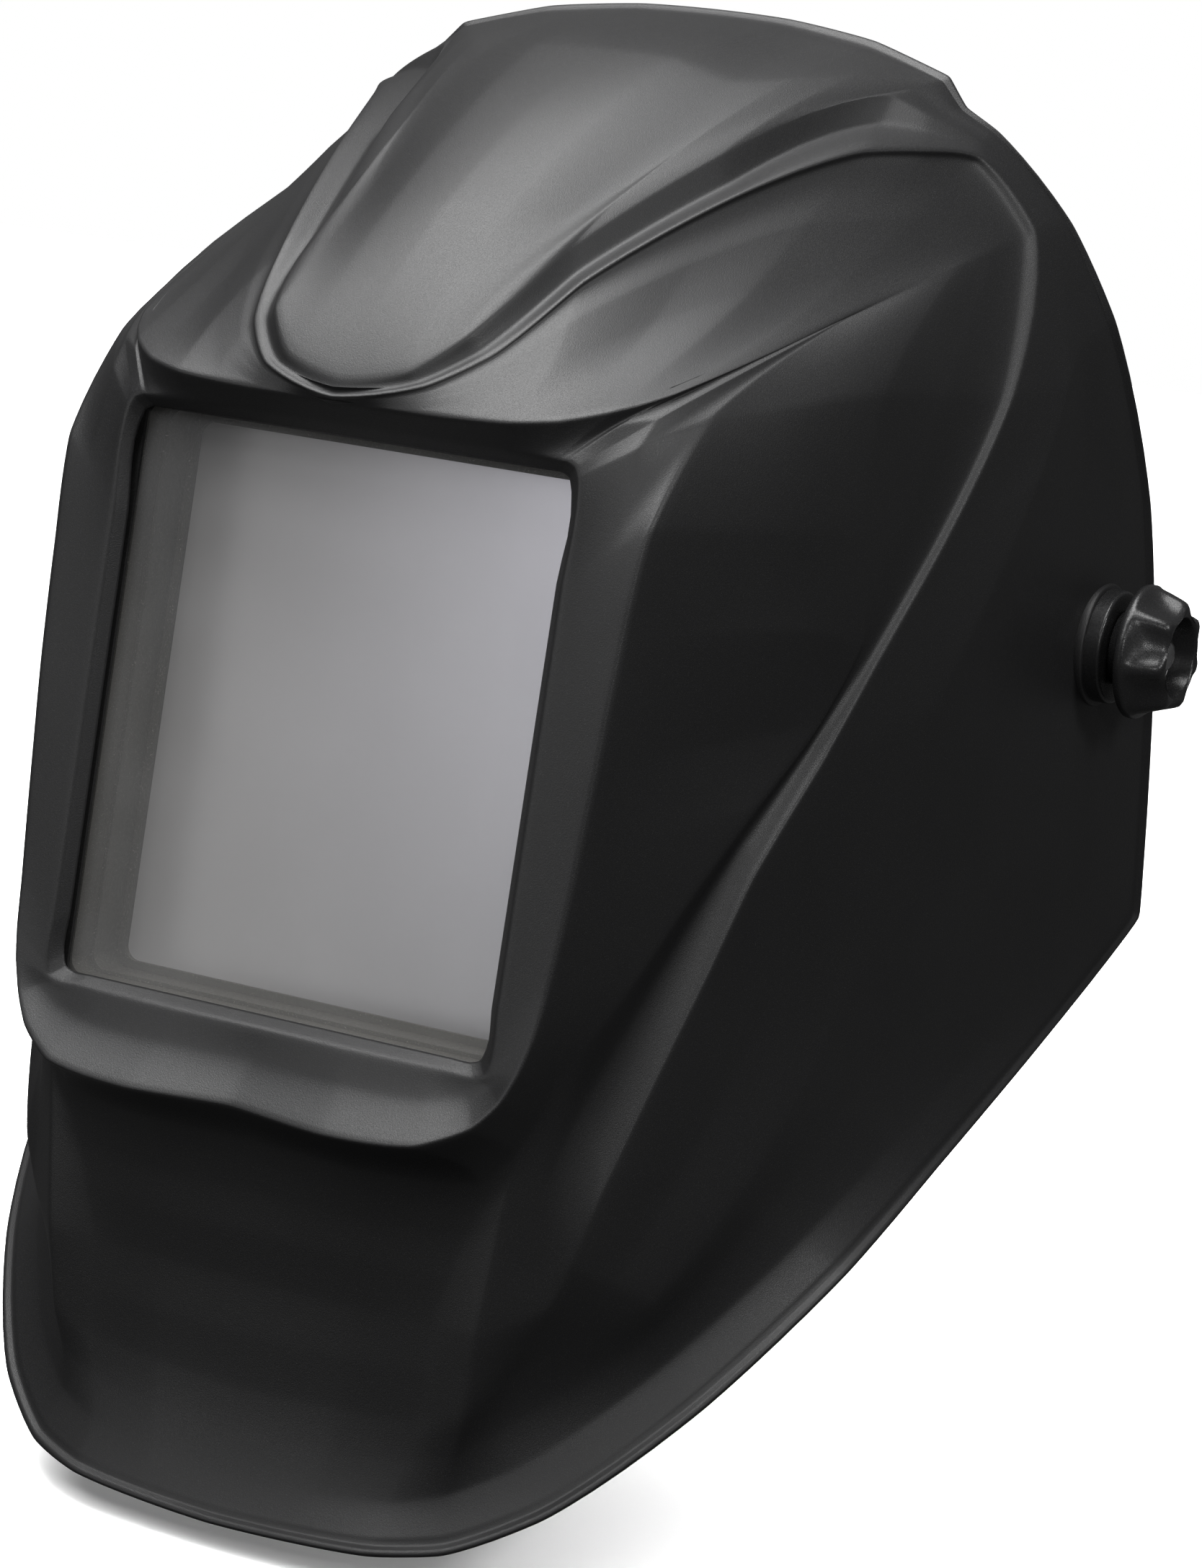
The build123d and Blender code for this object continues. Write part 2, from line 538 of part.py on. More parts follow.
with BuildPart() as band_guides:
    arm_in = OVAL_A - BAND_T / 2 + REAR_BAND_SHIFT
    for side in SIDES.values():
        lip_in = arm_in - GUIDE_PLAY - GUIDE_T
        for z in (REAR_BAND_Z[0] - GAP - GUIDE_T / 2, REAR_BAND_Z[1] + GAP + GUIDE_T / 2):
            with Locations((side * (lip_in + PLATE_IN) / 2, GUIDE_Y, z)):
                Box(PLATE_IN - lip_in, GUIDE_LENGTH, GUIDE_T)
        with Locations((side * (lip_in + GUIDE_T / 2), GUIDE_Y, sum(REAR_BAND_Z) / 2)):
            Box(GUIDE_T, GUIDE_LENGTH, REAR_BAND_Z[1] - REAR_BAND_Z[0] + 2 * GAP)
save(band_guides, "band_guides")

# ---------------------------------------------------------------- crown straps
for name, y in STRAP_YS.items():
    with BuildPart() as crown_strap:
        for shrink, mode in ((0, Mode.ADD), (STRAP_T, Mode.SUBTRACT)):
            a = STRAP_X - shrink
            with BuildSketch(front_plane(y + STRAP_W / 2)):
                with BuildLine():
                    Line((a, STRAP_FOOT), (a, STRAP_SHOULDER))
                    EllipticalCenterArc((0, STRAP_SHOULDER), a,
                                        STRAP_TOP - shrink - STRAP_SHOULDER, 0, arc_size=180)
                    Line((-a, STRAP_SHOULDER), (-a, STRAP_FOOT))
                    Line((-a, STRAP_FOOT), (a, STRAP_FOOT))
                make_face()
            extrude(amount=STRAP_W, mode=mode)
        with BuildSketch(Plane.YZ):
            with Locations(*[(y, z) for z in STRAP_HOLES]):
                Circle(STRAP_HOLE_R)
        extrude(amount=STRAP_TOP, both=True, mode=Mode.SUBTRACT)
    save(crown_strap, name)

BRIDGE_LOW = STRAP_TOP + 0.02
with BuildPart() as crown_bridge:
    bridge_y = (STRAP_YS["crown_strap_front"] - BRIDGE_INSET,
                STRAP_YS["crown_strap_rear"] + BRIDGE_INSET)
    with Locations((0, sum(bridge_y) / 2, BRIDGE_LOW + STRAP_T / 2)):
        Box(BRIDGE_W, bridge_y[1] - bridge_y[0], STRAP_T)
    fillet(crown_bridge.edges().filter_by(Axis.Z), BRIDGE_R)
save(crown_bridge, "crown_bridge")

# ---------------------------------------------------------------- rear band and ratchet
with BuildPart() as rear_band:
    oval_ring(*REAR_BAND_Z, BAND_T / 2 + REAR_BAND_SHIFT, -BAND_T / 2 + REAR_BAND_SHIFT)
    keep_y(REAR_BAND_END, 200)
save(rear_band, "rear_band")

with BuildPart() as rear_pad:
    pad_out = -BAND_T / 2 + REAR_BAND_SHIFT - SEAM
    oval_ring(REAR_BAND_Z[0] - PAD_OVERHANG, REAR_BAND_Z[1] + PAD_OVERHANG,
              pad_out, pad_out - REAR_PAD_T)
    keep_y(REAR_PAD_FROM, 200)
    with Locations((0, BOX_FRONT, RATCHET_Z)):
        Box(2 * REAR_PAD_HALF, BOX_FRONT, BOX_FRONT, mode=Mode.INTERSECT)
save(rear_pad, "rear_pad")

with BuildPart() as ratchet_housing:
    with BuildSketch(back_plane(BOX_FRONT)):
        with Locations((0, RATCHET_Z)):
            RectangleRounded(2 * BOX_HALF_X, 2 * BOX_HALF_Z, BOX_R)
    extrude(amount=BOX_BACK - BOX_FRONT)
    with BuildSketch(Plane.XY.offset(RATCHET_Z - 30)):
        oval(BAND_T / 2 + REAR_BAND_SHIFT + 0.02)
    extrude(amount=60, mode=Mode.SUBTRACT)
    with BuildSketch(back_plane(BOX_FLOOR)):
        with Locations((0, RATCHET_Z)):
            RectangleRounded(2 * (BOX_HALF_X - BOX_WALL), 2 * (BOX_HALF_Z - BOX_WALL),
                             BOX_R - BOX_WALL)
    extrude(amount=BOX_BACK - BOX_FLOOR, mode=Mode.SUBTRACT)
    with BuildSketch(back_plane(BOX_FRONT)):
        with Locations((0, RATCHET_Z)):
            Circle(SHAFT_TIP_R + RUNNING)
    extrude(amount=BOX_FLOOR - BOX_FRONT, mode=Mode.SUBTRACT)
save(ratchet_housing, "ratchet_housing")

SCREW_GRID = (2 * BOX_HALF_X - SCREW_INSET, 2 * BOX_HALF_Z - SCREW_INSET)
with BuildPart() as ratchet_cover:
    with BuildSketch(back_plane(BOX_BACK)):
        with Locations((0, RATCHET_Z)):
            RectangleRounded(2 * BOX_HALF_X, 2 * BOX_HALF_Z, BOX_R)
            Circle(SHAFT_R + RUNNING, mode=Mode.SUBTRACT)
            with GridLocations(*SCREW_GRID, 2, 2):
                Circle(COVER_SCREW_R, mode=Mode.SUBTRACT)
    extrude(amount=COVER_BACK - BOX_BACK)
save(ratchet_cover, "ratchet_cover")

with BuildPart() as cover_screws:
    with BuildSketch(back_plane(BOX_BACK)):
        with Locations((0, RATCHET_Z)):
            with GridLocations(*SCREW_GRID, 2, 2):
                Circle(COVER_SCREW_R)
    extrude(amount=COVER_BACK - BOX_BACK)
save(cover_screws, "cover_screws")

PITCH_R = MODULE * PINION_TEETH / 2
with BuildPart() as ratchet_pinion:
    with BuildSketch(back_plane(RACK_Y[0])) as gear:
        with Locations((0, RATCHET_Z)):
            Circle(PITCH_R - ROOT)
            with PolarLocations(PITCH_R - ROOT, PINION_TEETH, start_angle=90):
                with Locations((ROOT / 2 + ADDENDUM / 2 - 0.2, 0)):
                    Rectangle(ROOT + ADDENDUM + 0.4, 2 * TOOTH_HALF)
    extrude(amount=RACK_Y[1] - RACK_Y[0])
    with BuildSketch(back_plane(BOX_FLOOR - 2)):
        with Locations((0, RATCHET_Z)):
            Circle(SHAFT_TIP_R)
    extrude(amount=RACK_Y[0] - BOX_FLOOR + 2)
    with BuildSketch(back_plane(RACK_Y[1])):
        with Locations((0, RATCHET_Z)):
            Circle(SHAFT_R)
    extrude(amount=RATCHET_KNOB_Y[0] - RACK_Y[1])
save(ratchet_pinion, "ratchet_pinion")

TOOTH_PITCH = pi * MODULE
# the right rack lies over the pinion and the left rack under it
for name, (side, level) in {"right": (1, 1), "left": (-1, -1)}.items():
    with BuildPart() as band_rack:
        pitch_z = RATCHET_Z + level * PITCH_R
        with BuildSketch(front_plane(RACK_Y[1])):
            with Locations((side * RACK_CENTRE, pitch_z + level * (ROOT + RACK_DEPTH / 2))):
                Rectangle(RACK_LENGTH, RACK_DEPTH)
            for tooth in range(-RACK_TEETH // 2 + 2, RACK_TEETH // 2 + 2):
                tooth_x = side * (tooth + 0.5) * TOOTH_PITCH
                with Locations((tooth_x, pitch_z + level * (ROOT - ADDENDUM + 0.2) / 2)):
                    Rectangle(2 * TOOTH_HALF, ROOT + ADDENDUM + 0.2)
        extrude(amount=RACK_Y[1] - RACK_Y[0])
    save(band_rack, f"{name}_band_rack")

with BuildPart() as ratchet_knob:
    with BuildSketch(back_plane(RATCHET_KNOB_Y[0])):
        with Locations((0, RATCHET_Z)):
            Circle(RATCHET_KNOB_R)
    extrude(amount=RATCHET_KNOB_Y[1] - RATCHET_KNOB_Y[0])
    with BuildSketch(back_plane(RATCHET_KNOB_Y[0])):
        with Locations((0, RATCHET_Z)):
            with PolarLocations(RATCHET_KNOB_R + LOBE_OUT, RATCHET_LOBES):
                Circle(LOBE_R)
    extrude(amount=RATCHET_KNOB_Y[1] - RATCHET_KNOB_Y[0], mode=Mode.SUBTRACT)
    chamfer(ratchet_knob.faces().sort_by(Axis.Y)[-1].outer_wire().edges(), LOBE_EDGE)
save(ratchet_knob, "ratchet_knob")
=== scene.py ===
"""The looks of a flip-up welding helmet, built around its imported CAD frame.

Metres, in the frame of the CAD: +Z up, -Y the way the wearer looks, origin at the
middle of the pivot axis. The shell is a grid of feature lines, given in millimetres
for one half and mirrored.
"""

import json
from math import cos, pi, radians, sin

import bmesh
import bpy
import numpy as np
from mathutils import Matrix, Vector


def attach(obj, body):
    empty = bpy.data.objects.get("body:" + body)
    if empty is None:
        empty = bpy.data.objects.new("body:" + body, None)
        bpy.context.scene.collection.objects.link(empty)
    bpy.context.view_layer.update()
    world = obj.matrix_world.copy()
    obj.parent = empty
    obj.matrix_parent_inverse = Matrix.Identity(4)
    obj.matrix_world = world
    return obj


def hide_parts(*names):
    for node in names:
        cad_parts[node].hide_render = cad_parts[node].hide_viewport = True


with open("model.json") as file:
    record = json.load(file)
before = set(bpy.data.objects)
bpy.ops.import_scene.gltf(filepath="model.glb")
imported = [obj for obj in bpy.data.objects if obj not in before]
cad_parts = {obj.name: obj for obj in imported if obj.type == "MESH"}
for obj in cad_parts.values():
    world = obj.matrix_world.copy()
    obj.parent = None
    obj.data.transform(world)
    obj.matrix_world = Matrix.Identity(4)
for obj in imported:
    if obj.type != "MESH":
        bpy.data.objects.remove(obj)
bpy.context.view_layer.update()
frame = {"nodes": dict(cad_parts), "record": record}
MM = 0.001

# ---------------------------------------------------------------- shell feature lines
# Stations run from the top centre, round the right side and down to the chin's centre.
# Every line has one point at each station, so lines and stations make a grid.
FRAME_LINE = [            # the bezel's outer edge: brow, arm, side and lower lip
    (0, -188, 43.5), (20, -188, 44), (32, -187.5, 44.5), (42, -186.5, 45.2),
    (52, -182.5, 47), (60, -175.5, 50), (64, -170, 52), (68, -162, 55), (80.6, -105, 74.4),
    (75, -159, 50.5), (73.5, -178.5, 27), (72.2, -182, 4), (71, -184.5, -24),
    (69.8, -185.8, -44), (68.7, -187, -60), (67.5, -188.3, -73), (66.3, -190, -83),
    (64.8, -191.5, -90), (62, -193.5, -97), (57.5, -196.5, -103), (47, -202, -108.3),
    (25, -203.5, -110), (0, -200.5, -109.2)]
PANEL_LINE = [            # forehead and side panel, then the lower crease and under the lip
    (0, -188.7, 44.1), (20, -187.2, 46), (32, -182.5, 50), (42, -171, 58),
    (53, -148, 68), (64, -124, 77), (69.5, -113, 79), (75.5, -99, 82), (88, -68, 87),
    (92.5, -110, 58), (93.5, -115, 27), (94.3, -109, 3), (91.3, -119, -15),
    (87, -137, -33), (81.5, -152, -52), (75.5, -166, -73), (70.5, -174.5, -86),
    (67, -179, -93), (64.5, -178.6, -101), (60.5, -180, -110), (53.5, -182, -118),
    (27, -187, -120), (0, -188, -119)]
SWOOSH_LINE = [           # round the tongue, out to the lobe and down the side
    (0, -191, 45), (20, -186, 50), (30, -176, 58), (38, -154, 75),
    (52, -112, 97), (65, -76, 110), (73.5, -60, 112), (81, -46, 112), (94, -39.5, 97),
    (102.5, -60, 59), (100, -84, 24), (96.5, -103, -1), (93, -119.5, -24),
    (88.8, -137.5, -48), (85, -147, -70), (80.5, -156, -92), (76, -164, -113),
    (71.5, -169, -134), (67.6, -170, -144.5), (56, -179.4, -151.8), (44.5, -178.4, -152),
    (25, -180.6, -152), (0, -181.6, -152)]
TONGUE_LINE = [           # the tongue's edge, then the middle of the side and chin
    (0, -188, 49), (15, -185.5, 52.5), (24, -178, 61), (31, -147, 82),
    (43, -105, 105), (60, -54, 123.5), (68.5, -50, 120), (79, -42, 115.5),
    (94.5, -34, 98.5), (106.3, -36, 62), (107.3, -48, 41), (105.4, -64, 14), (102.4, -80, -12),
    (100, -88, -45), (98.5, -98, -72), (96, -112, -96), (91.5, -130, -120),
    (82.5, -150, -144), (61, -168.5, -161), (54, -177.2, -171), (43, -176.8, -175),
    (24, -179.3, -176), (0, -180.3, -177)]
CROWN_LINE = [            # over the crown, then the start of the lower flange
    (0, -150, 88), (14, -148, 87.5), (26, -138, 89.5), (35, -112, 104),
    (46, -84, 116), (61.5, -47, 125.5), (69, -45, 121), (79, -39, 116.5), (95, -30, 99),
    (104.7, -28, 71), (107.5, -22, 38), (107, -28, 8), (107, -38, -28),
    (107, -42, -56), (105.5, -62, -83), (102, -96, -104.5), (96.5, -123, -126),
    (84.5, -148, -152), (62, -170, -173), (52.3, -176.8, -181.2), (41, -177.5, -184),
    (23, -180.2, -186), (0, -181.2, -187)]
FLANGE_LINE = [           # just inside the rim
    (0, -85, 126), (18, -84, 125.5), (33, -82, 122), (42, -72, 124),
    (51, -58, 126.5), (63.5, -40.5, 127.5), (70.5, -40.5, 122), (79, -37, 117.5), (95.5, -26, 99),
    (105, -18, 75), (109.5, 0, 37), (110, 5, 3), (111, 5, -36),
    (112, 8, -66), (110, -35, -93), (107.5, -79, -113), (102, -114, -132.5),
    (87, -145.5, -159), (66, -169.5, -182), (51.6, -176.6, -189.6), (39.5, -179.6, -193),
    (21.5, -182.5, -195), (0, -183.4, -196)]
RIM_LINE = [
    (0, -28, 139), (20, -28.5, 138.5), (34, -29.5, 137), (44, -30.5, 135.5),
    (53, -32, 133), (65.5, -34, 129.3), (71, -35, 122.5), (79, -34, 118), (96, -22, 98.5),
    (105, -10, 78), (110.3, 17, 34), (111.5, 31, -3), (112, 40, -42),
    (113, 43, -71), (112.5, -18, -99), (111, -65, -120), (108.5, -104, -139),
    (93, -140, -168), (71, -167, -192.5), (54, -179, -202), (38.5, -185.5, -204.5),
    (20, -188, -205.5), (0, -189, -206)]
STATIONS = len(RIM_LINE)
# how sharp a corner each line turns at a station, from the window out to the rim
STATION_CORNERS = {
    5: (0, 0, 0, 0, 0, 0, 0, 0, 0, 0.4, 1, 1, 1),
    6: (0, 0, 0, 0, 0, 0, 0, 0, 0, 0.3, 0.7, 0.8, 0.8),
    8: (0, 0, 0.2, 0.7, 1, 1, 0.8, 0.1, 0, 0, 0, 0, 0),
    13: (0, 0, 0, 0, 0, 0, 0, 0, 0, 0, 0, 0.5, 0.9),
    17: (0, 0, 0, 0.4, 0.2, 0, 0, 0, 0, 0, 0, 0, 0),
    19: (0, 0, 0, 0.3, 0.9, 1, 1, 1, 1, 1, 1, 0.8, 0.2),
    20: (0, 0, 0, 0.2, 0.5, 0.6, 0.6, 0.5, 0.3, 0, 0, 0, 0)}
# where the bezel's face bulges out of the straight line from the window to its edge
FACE_SHIFTS = {7: (0.5, -2, 0.5), 8: (-1, -26, -7), 9: (0.5, -4, 0), 18: (0, 1.2, 0.4),
               19: (0, 2.2, 0.8), 20: (0, 3, 1), 21: (0, 3.0, 1.2), 22: (0, 3.2, 1.2)}

LEAN = radians(4)
WINDOW_CENTRE = np.array((0, -183.4, -27.4))
UP_WINDOW = np.array((0, sin(LEAN), cos(LEAN)))
OUT_WINDOW = np.array((0, -cos(LEAN), sin(LEAN)))
WINDOW_HALF = (54.1, 63.5)
BEVEL, FACE_HEIGHT, FACE_BULGE = 2.6, 2.4, 1.6
# where each station meets the window, as shares of its half width and half height
WINDOW_SPOTS = [(0, 1), (0.3, 1), (0.5, 1), (0.68, 1), (0.82, 1), (0.9, 1), (0.925, 1),
                (0.945, 1), (0.984, 0.986), (1, 0.953), (1, 0.62), (1, 0.3), (1, -0.05),
                (1, -0.35), (1, -0.6), (1, -0.8), (1, -0.953), (0.984, -0.986), (0.945, -1),
                (0.86, -1), (0.72, -1), (0.38, -1), (0, -1)]


def fade(*pairs):
    """A value at every station, running straight between the given ones."""
    where, values = zip(*pairs)
    return np.interp(range(STATIONS), where, values)


# how high or how deep each crease is at every station
SWOOSH_STEP = [0.3, 0.4, 0.5, 0.7, 0.9, 1.1, 1.2, 1.3, 1.5, 1.6, 1.6, 1.5, 1.4, 1.3, 1.2,
               1.0, 0.8, 0.5, 0.3, 0, 0.4, 0.6, 0.6]
FLANGE_SINK = 12 * [0] + [0.4, 1.3, 2.2, 3.0, 3.8, 4.8, 5.2, 2.4, 0.6, 0, 0]
TONGUE_STEP = [1.0, 1.4, 2.0, 2.8, 3.4, 3.2, 1.4, 0.3] + 15 * [0]
VALLEY = [0, 0, 0, 0, 0.4, 0.5, 0.6, 0.6, 0.6, 0.6, 0.4, 0.6, 1.6, 2.5, 3.5, 4.0, 4.2, 2.4,
          0.4, 0.3, 0.6, 0.9, 1.0]


# how wide the creases' slopes are, for their height, and the shares of room they may take
SWOOSH_SLOPE, SWOOSH_TOE, SWOOSH_SHARE = 0.9, 0.4, 0.35
CHIN_FOOT_SHARE = fade((16, 0), (19, 0.33))   # where the swoosh runs out, the foot spreads
TONGUE_SLOPE, TONGUE_TOE, TONGUE_SHARE = 2, 1.6, 0.45
TONGUE_LOW = 0.9               # a lower tongue edge has its foot half way to the swoosh
CROWN_SINK_SHARE = 0.8         # of the flange's sink


def window_line(grow, height, bulge):
    """The window's outline at every station, grown by a bevel and raised off its plane."""
    points = []
    for across, along in WINDOW_SPOTS:
        x = across * (WINDOW_HALF[0] + grow)
        v = along * (WINDOW_HALF[1] + grow)
        rise = height + bulge * (1 - across ** 2) * along ** 2
        points.append(WINDOW_CENTRE + np.array((x, 0, 0)) + UP_WINDOW * v + OUT_WINDOW * rise)
    return np.array(points)


def unit(v):
    """Vectors scaled to length one."""
    return v / np.maximum(np.linalg.norm(v, axis=-1, keepdims=True), 1e-9)


def hermite(points, sharp, cuts, mirrored):
    """Curves through rows of points, with a corner at a knot where sharp is one.

    points is (rows, knots, 3), sharp is (rows, knots), and cuts gives, for each span
    between two knots, the shares of it where each row has a point."""
    knots = points.shape[1]
    step = np.diff(points, axis=1)
    chord = np.linalg.norm(step, axis=2, keepdims=True) + 1e-6
    slope = step / chord
    level = np.array((1.0, 0, 0)) if mirrored else np.ones(3)
    before = np.concatenate([slope[:, :1] * level, slope], axis=1)
    after = np.concatenate([slope, slope[:, -1:] * level], axis=1)
    a = np.concatenate([chord[:, :1], chord], axis=1)
    b = np.concatenate([chord, chord[:, -1:]], axis=1)
    smooth = (before * b + after * a) / (a + b)
    smooth[:, 0], smooth[:, -1] = before[:, 0], after[:, -1]
    share = sharp[..., None]
    arrive = smooth * (1 - share) + before * share
    leave = smooth * (1 - share) + after * share
    out = [points[:, :1]]
    for k in range(knots - 1):
        t = cuts[k][..., None]
        reach = chord[:, k][:, None]
        p0, p1 = points[:, k][:, None], points[:, k + 1][:, None]
        m0, m1 = leave[:, k][:, None] * reach, arrive[:, k + 1][:, None] * reach
        out.append((2 * t ** 3 - 3 * t ** 2 + 1) * p0 + (t ** 3 - 2 * t ** 2 + t) * m0
                   + (3 * t ** 2 - 2 * t ** 3) * p1 + (t ** 3 - t ** 2) * m1)
    return np.concatenate(out, axis=1)


def shares(lengths, near, steps):
    """Where spans of these lengths are cut: close to both ends, then evenly between."""
    lengths = np.asarray(lengths, float)[:, None]
    reach = np.arange(1, len(near) + 1) * NEAR_SHARE / len(near)
    low = np.minimum(np.array(near) / lengths, reach)
    inner = np.linspace(0, 1, steps + 1)[1:-1]
    middle = low[:, -1:] + inner * (1 - 2 * low[:, -1:])
    return np.concatenate([low, middle, 1 - low[:, ::-1], np.ones_like(lengths)], axis=1)


def shell_lines():
    """The grid's lines at every station, from the window out to the rim."""
    frame_line, panel, swoosh, tongue, crown, flange, rim = (
        np.array(line, float) for line in (FRAME_LINE, PANEL_LINE, SWOOSH_LINE,
                                           TONGUE_LINE, CROWN_LINE, FLANGE_LINE, RIM_LINE))
    out = unit(np.cross(np.gradient(swoosh, axis=0), tongue - panel))
    step = np.array(SWOOSH_STEP)[:, None]
    room = np.linalg.norm(panel - swoosh, axis=1, keepdims=True)
    width = np.maximum(np.minimum(SWOOSH_SLOPE * step + SWOOSH_TOE, SWOOSH_SHARE * room),
                       CHIN_FOOT_SHARE[:, None] * room)
    foot = swoosh + unit(panel - swoosh) * width - out * step
    valley = (panel + foot) / 2 - out * np.array(VALLEY)[:, None]
    rise = np.array(TONGUE_STEP)[:, None]
    out = unit(np.cross(np.gradient(tongue, axis=0), crown - swoosh))
    room = np.linalg.norm(swoosh - tongue, axis=1, keepdims=True)
    width = np.where(rise > TONGUE_LOW,
                     np.minimum(TONGUE_SLOPE * rise + TONGUE_TOE, TONGUE_SHARE * room), room / 2)
    tongue_foot = tongue + unit(swoosh - tongue) * width - out * rise
    out = unit(np.cross(np.gradient(flange, axis=0), rim - crown))
    sink = np.array(FLANGE_SINK)[:, None]
    flange, crown = flange - out * sink, crown - out * sink * CROWN_SINK_SHARE
    edge = window_line(BEVEL, FACE_HEIGHT, FACE_BULGE)
    face = (edge + frame_line) / 2
    for station, shift in FACE_SHIFTS.items():
        face[station] += shift
    return np.stack([window_line(0, 0, 0), edge, face, frame_line, panel, valley, foot, swoosh,
                     tongue_foot, tongue, crown, flange, rim])


LINE_EDGES = [             # how sharp each line is to cross, at every station
    fade((0, 0)), fade((0, 1)), fade((0, 0)), fade((0, 1)),
    fade((0, 0), (10, 0), (11, 0.4), (12, 1), (18, 1), (20, 0)),
    fade((0, 0)), fade((0, 0.5), (15, 0.5), (18, 0)),
    fade((0, 0.2), (6, 0.5), (8, 1), (14, 1), (17, 0.3), (18, 0)),
    fade((0, 0.5), (6, 0.5), (7, 0)),
    fade((0, 0.6), (5, 0.9), (6, 0.3), (7, 0), (8, 0.2), (9, 0.9), (11, 1), (13, 0)),
    fade((0, 0)), fade((0, 0), (14, 0), (16, 0.5), (19, 0.5), (21, 0)), fade((0, 0))]
SPAN_STEPS = (2, 4, 4, 8, 5, 5, 3, 5, 3, 7, 6, 5)
NEAR = (0.5, 1.3)              # how far from a line the first cuts beside it are
NEAR_SHARE = 0.45              # of a short span, that those cuts may reach
STATION_STEPS = 4
RIM_NEAR = (0.4, 1.0, 1.6, 2.3, 3.0, 3.8)
BEAD = (0, -0.35, -0.1, 0.5, 0.75, 0.7, 0.3)   # its height from the inner side to the rim
SMOOTHINGS, SMOOTHING = 3, 0.5
SHELL_WALL = 2.4


def shell_grid():
    """Rows of points over the right half, from the top centre round to the chin."""
    lines = shell_lines()
    corners = np.zeros(lines.shape[:2])
    for station, sharp in STATION_CORNERS.items():
        corners[:, station] = sharp
    spacing = np.linalg.norm(np.diff(lines, axis=1), axis=2).mean(axis=0)
    cuts = shares(spacing, NEAR, STATION_STEPS)
    rows = hermite(lines, corners, [cut[None] for cut in cuts], True).transpose(1, 0, 2)
    stations = np.concatenate([[0], *(k + cut for k, cut in enumerate(cuts))])
    sharp = np.stack([np.interp(stations, range(STATIONS), e) for e in LINE_EDGES], axis=1)
    spans = np.linalg.norm(np.diff(rows, axis=1), axis=2)
    last = len(SPAN_STEPS) - 1
    cuts = [shares(spans[:, k], RIM_NEAR if k == last else NEAR, steps)
            for k, steps in enumerate(SPAN_STEPS)]
    grid = hermite(rows, sharp, cuts, False)
    for _ in range(SMOOTHINGS):
        grid[:, 1:-1] += SMOOTHING * ((grid[:, :-2] + grid[:, 2:]) / 2 - grid[:, 1:-1])
        inner = grid[:, 1:]
        grid[1:-1, 1:] += SMOOTHING * ((inner[:-2] + inner[2:]) / 2 - inner[1:-1])
    grid[[0, -1], :, 0] = 0
    out = unit(np.cross(np.gradient(grid, axis=0), np.gradient(grid, axis=1)))
    bead = np.array(BEAD)
    grid[:, -len(bead):] += out[:, -len(bead):] * bead[:, None]
    grid[[0, -1], :, 0] = 0
    return grid


def new_mesh(name, points, faces):
    """A mesh object from points in metres."""
    mesh = bpy.data.meshes.new(name)
    mesh.from_pydata([tuple(p) for p in points], [], faces)
    mesh.validate()
    obj = bpy.data.objects.new(name, mesh)
    bpy.context.scene.collection.objects.link(obj)
    for polygon in mesh.polygons:
        polygon.use_smooth = True
    return obj


def build_shell():
    """The moulded shell: both halves of the grid, thickened inwards."""
    half = shell_grid() * MM
    mirror = half[1:-1][::-1] * np.array((-1, 1, 1))
    loop = np.concatenate([half, mirror])
    around, across = loop.shape[:2]
    faces = []
    for i in range(around):
        n = (i + 1) % around
        for j in range(across - 1):
            faces.append((i * across + j, n * across + j,
                          n * across + j + 1, i * across + j + 1))
    shell = new_mesh("shell", loop.reshape(-1, 3), faces)
    wall = shell.modifiers.new("wall", "SOLIDIFY")
    wall.thickness = SHELL_WALL * MM
    wall.offset = -1
    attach(shell, "shell")
    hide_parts("helmet_shell")
    return shell


def face_outwards(obj):
    """Turn a closed mesh's faces to look out."""
    shape = bmesh.new()
    shape.from_mesh(obj.data)
    bmesh.ops.recalc_face_normals(shape, faces=shape.faces)
    shape.to_mesh(obj.data)
    shape.free()


FLUTE_HALF, FLUTE_ROUNDNESS = 0.4, 0.8   # a flute's half width as a share of its pitch


def turned(name, side, rings, around, flutes=0, flute_depth=0):
    """A ring turned about the pivot axis from (x, radius, flute share) profile points."""
    angles = np.arange(around) * 2 * pi / around
    points = []
    for x, radius, share in rings:
        swing = (angles * flutes / (2 * pi)) % 1 - 0.5
        hollow = np.clip(1 - (swing / FLUTE_HALF) ** 2, 0, 1) ** FLUTE_ROUNDNESS
        dip = flute_depth * share * hollow
        r = radius - dip
        points.append(np.stack([np.full(around, side * x), r * np.sin(angles),
                                r * np.cos(angles)], axis=1))
    faces = []
    for i in range(len(rings)):
        n = (i + 1) % len(rings)
        for j in range(around):
            m = (j + 1) % around
            faces.append((i * around + j, i * around + m, n * around + m, n * around + j))
    obj = new_mesh(name, np.concatenate(points) * MM, faces)
    face_outwards(obj)
    return obj


SIDES = {"left": -1, "right": 1}
KNOB_RINGS = [            # from the foot of the neck, over the grip, down into the well
    (114.55, 6.0, 0), (114.55, 8.6, 0), (114.7, 9, 0), (118.3, 9, 0), (118.55, 9.3, 0),
    (118.6, 14.9, 0), (118.75, 15.7, 0), (119.2, 16.2, 0), (119.8, 16.3, 0),
    (120.8, 16.3, 0), (121.3, 16.1, 0.1), (122.2, 15.8, 0.45), (123.4, 15.4, 0.75),
    (125, 14.9, 0.95), (127, 14.2, 1), (128.6, 13.6, 1), (129.5, 13.1, 0.95),
    (130, 12.4, 0.85), (130.2, 11.6, 0.6), (130.2, 10.6, 0.1), (129.9, 9.9, 0),
    (129.4, 9.6, 0), (124.3, 9.4, 0), (123.8, 9.1, 0), (123.7, 8.4, 0), (123.7, 6.0, 0)]
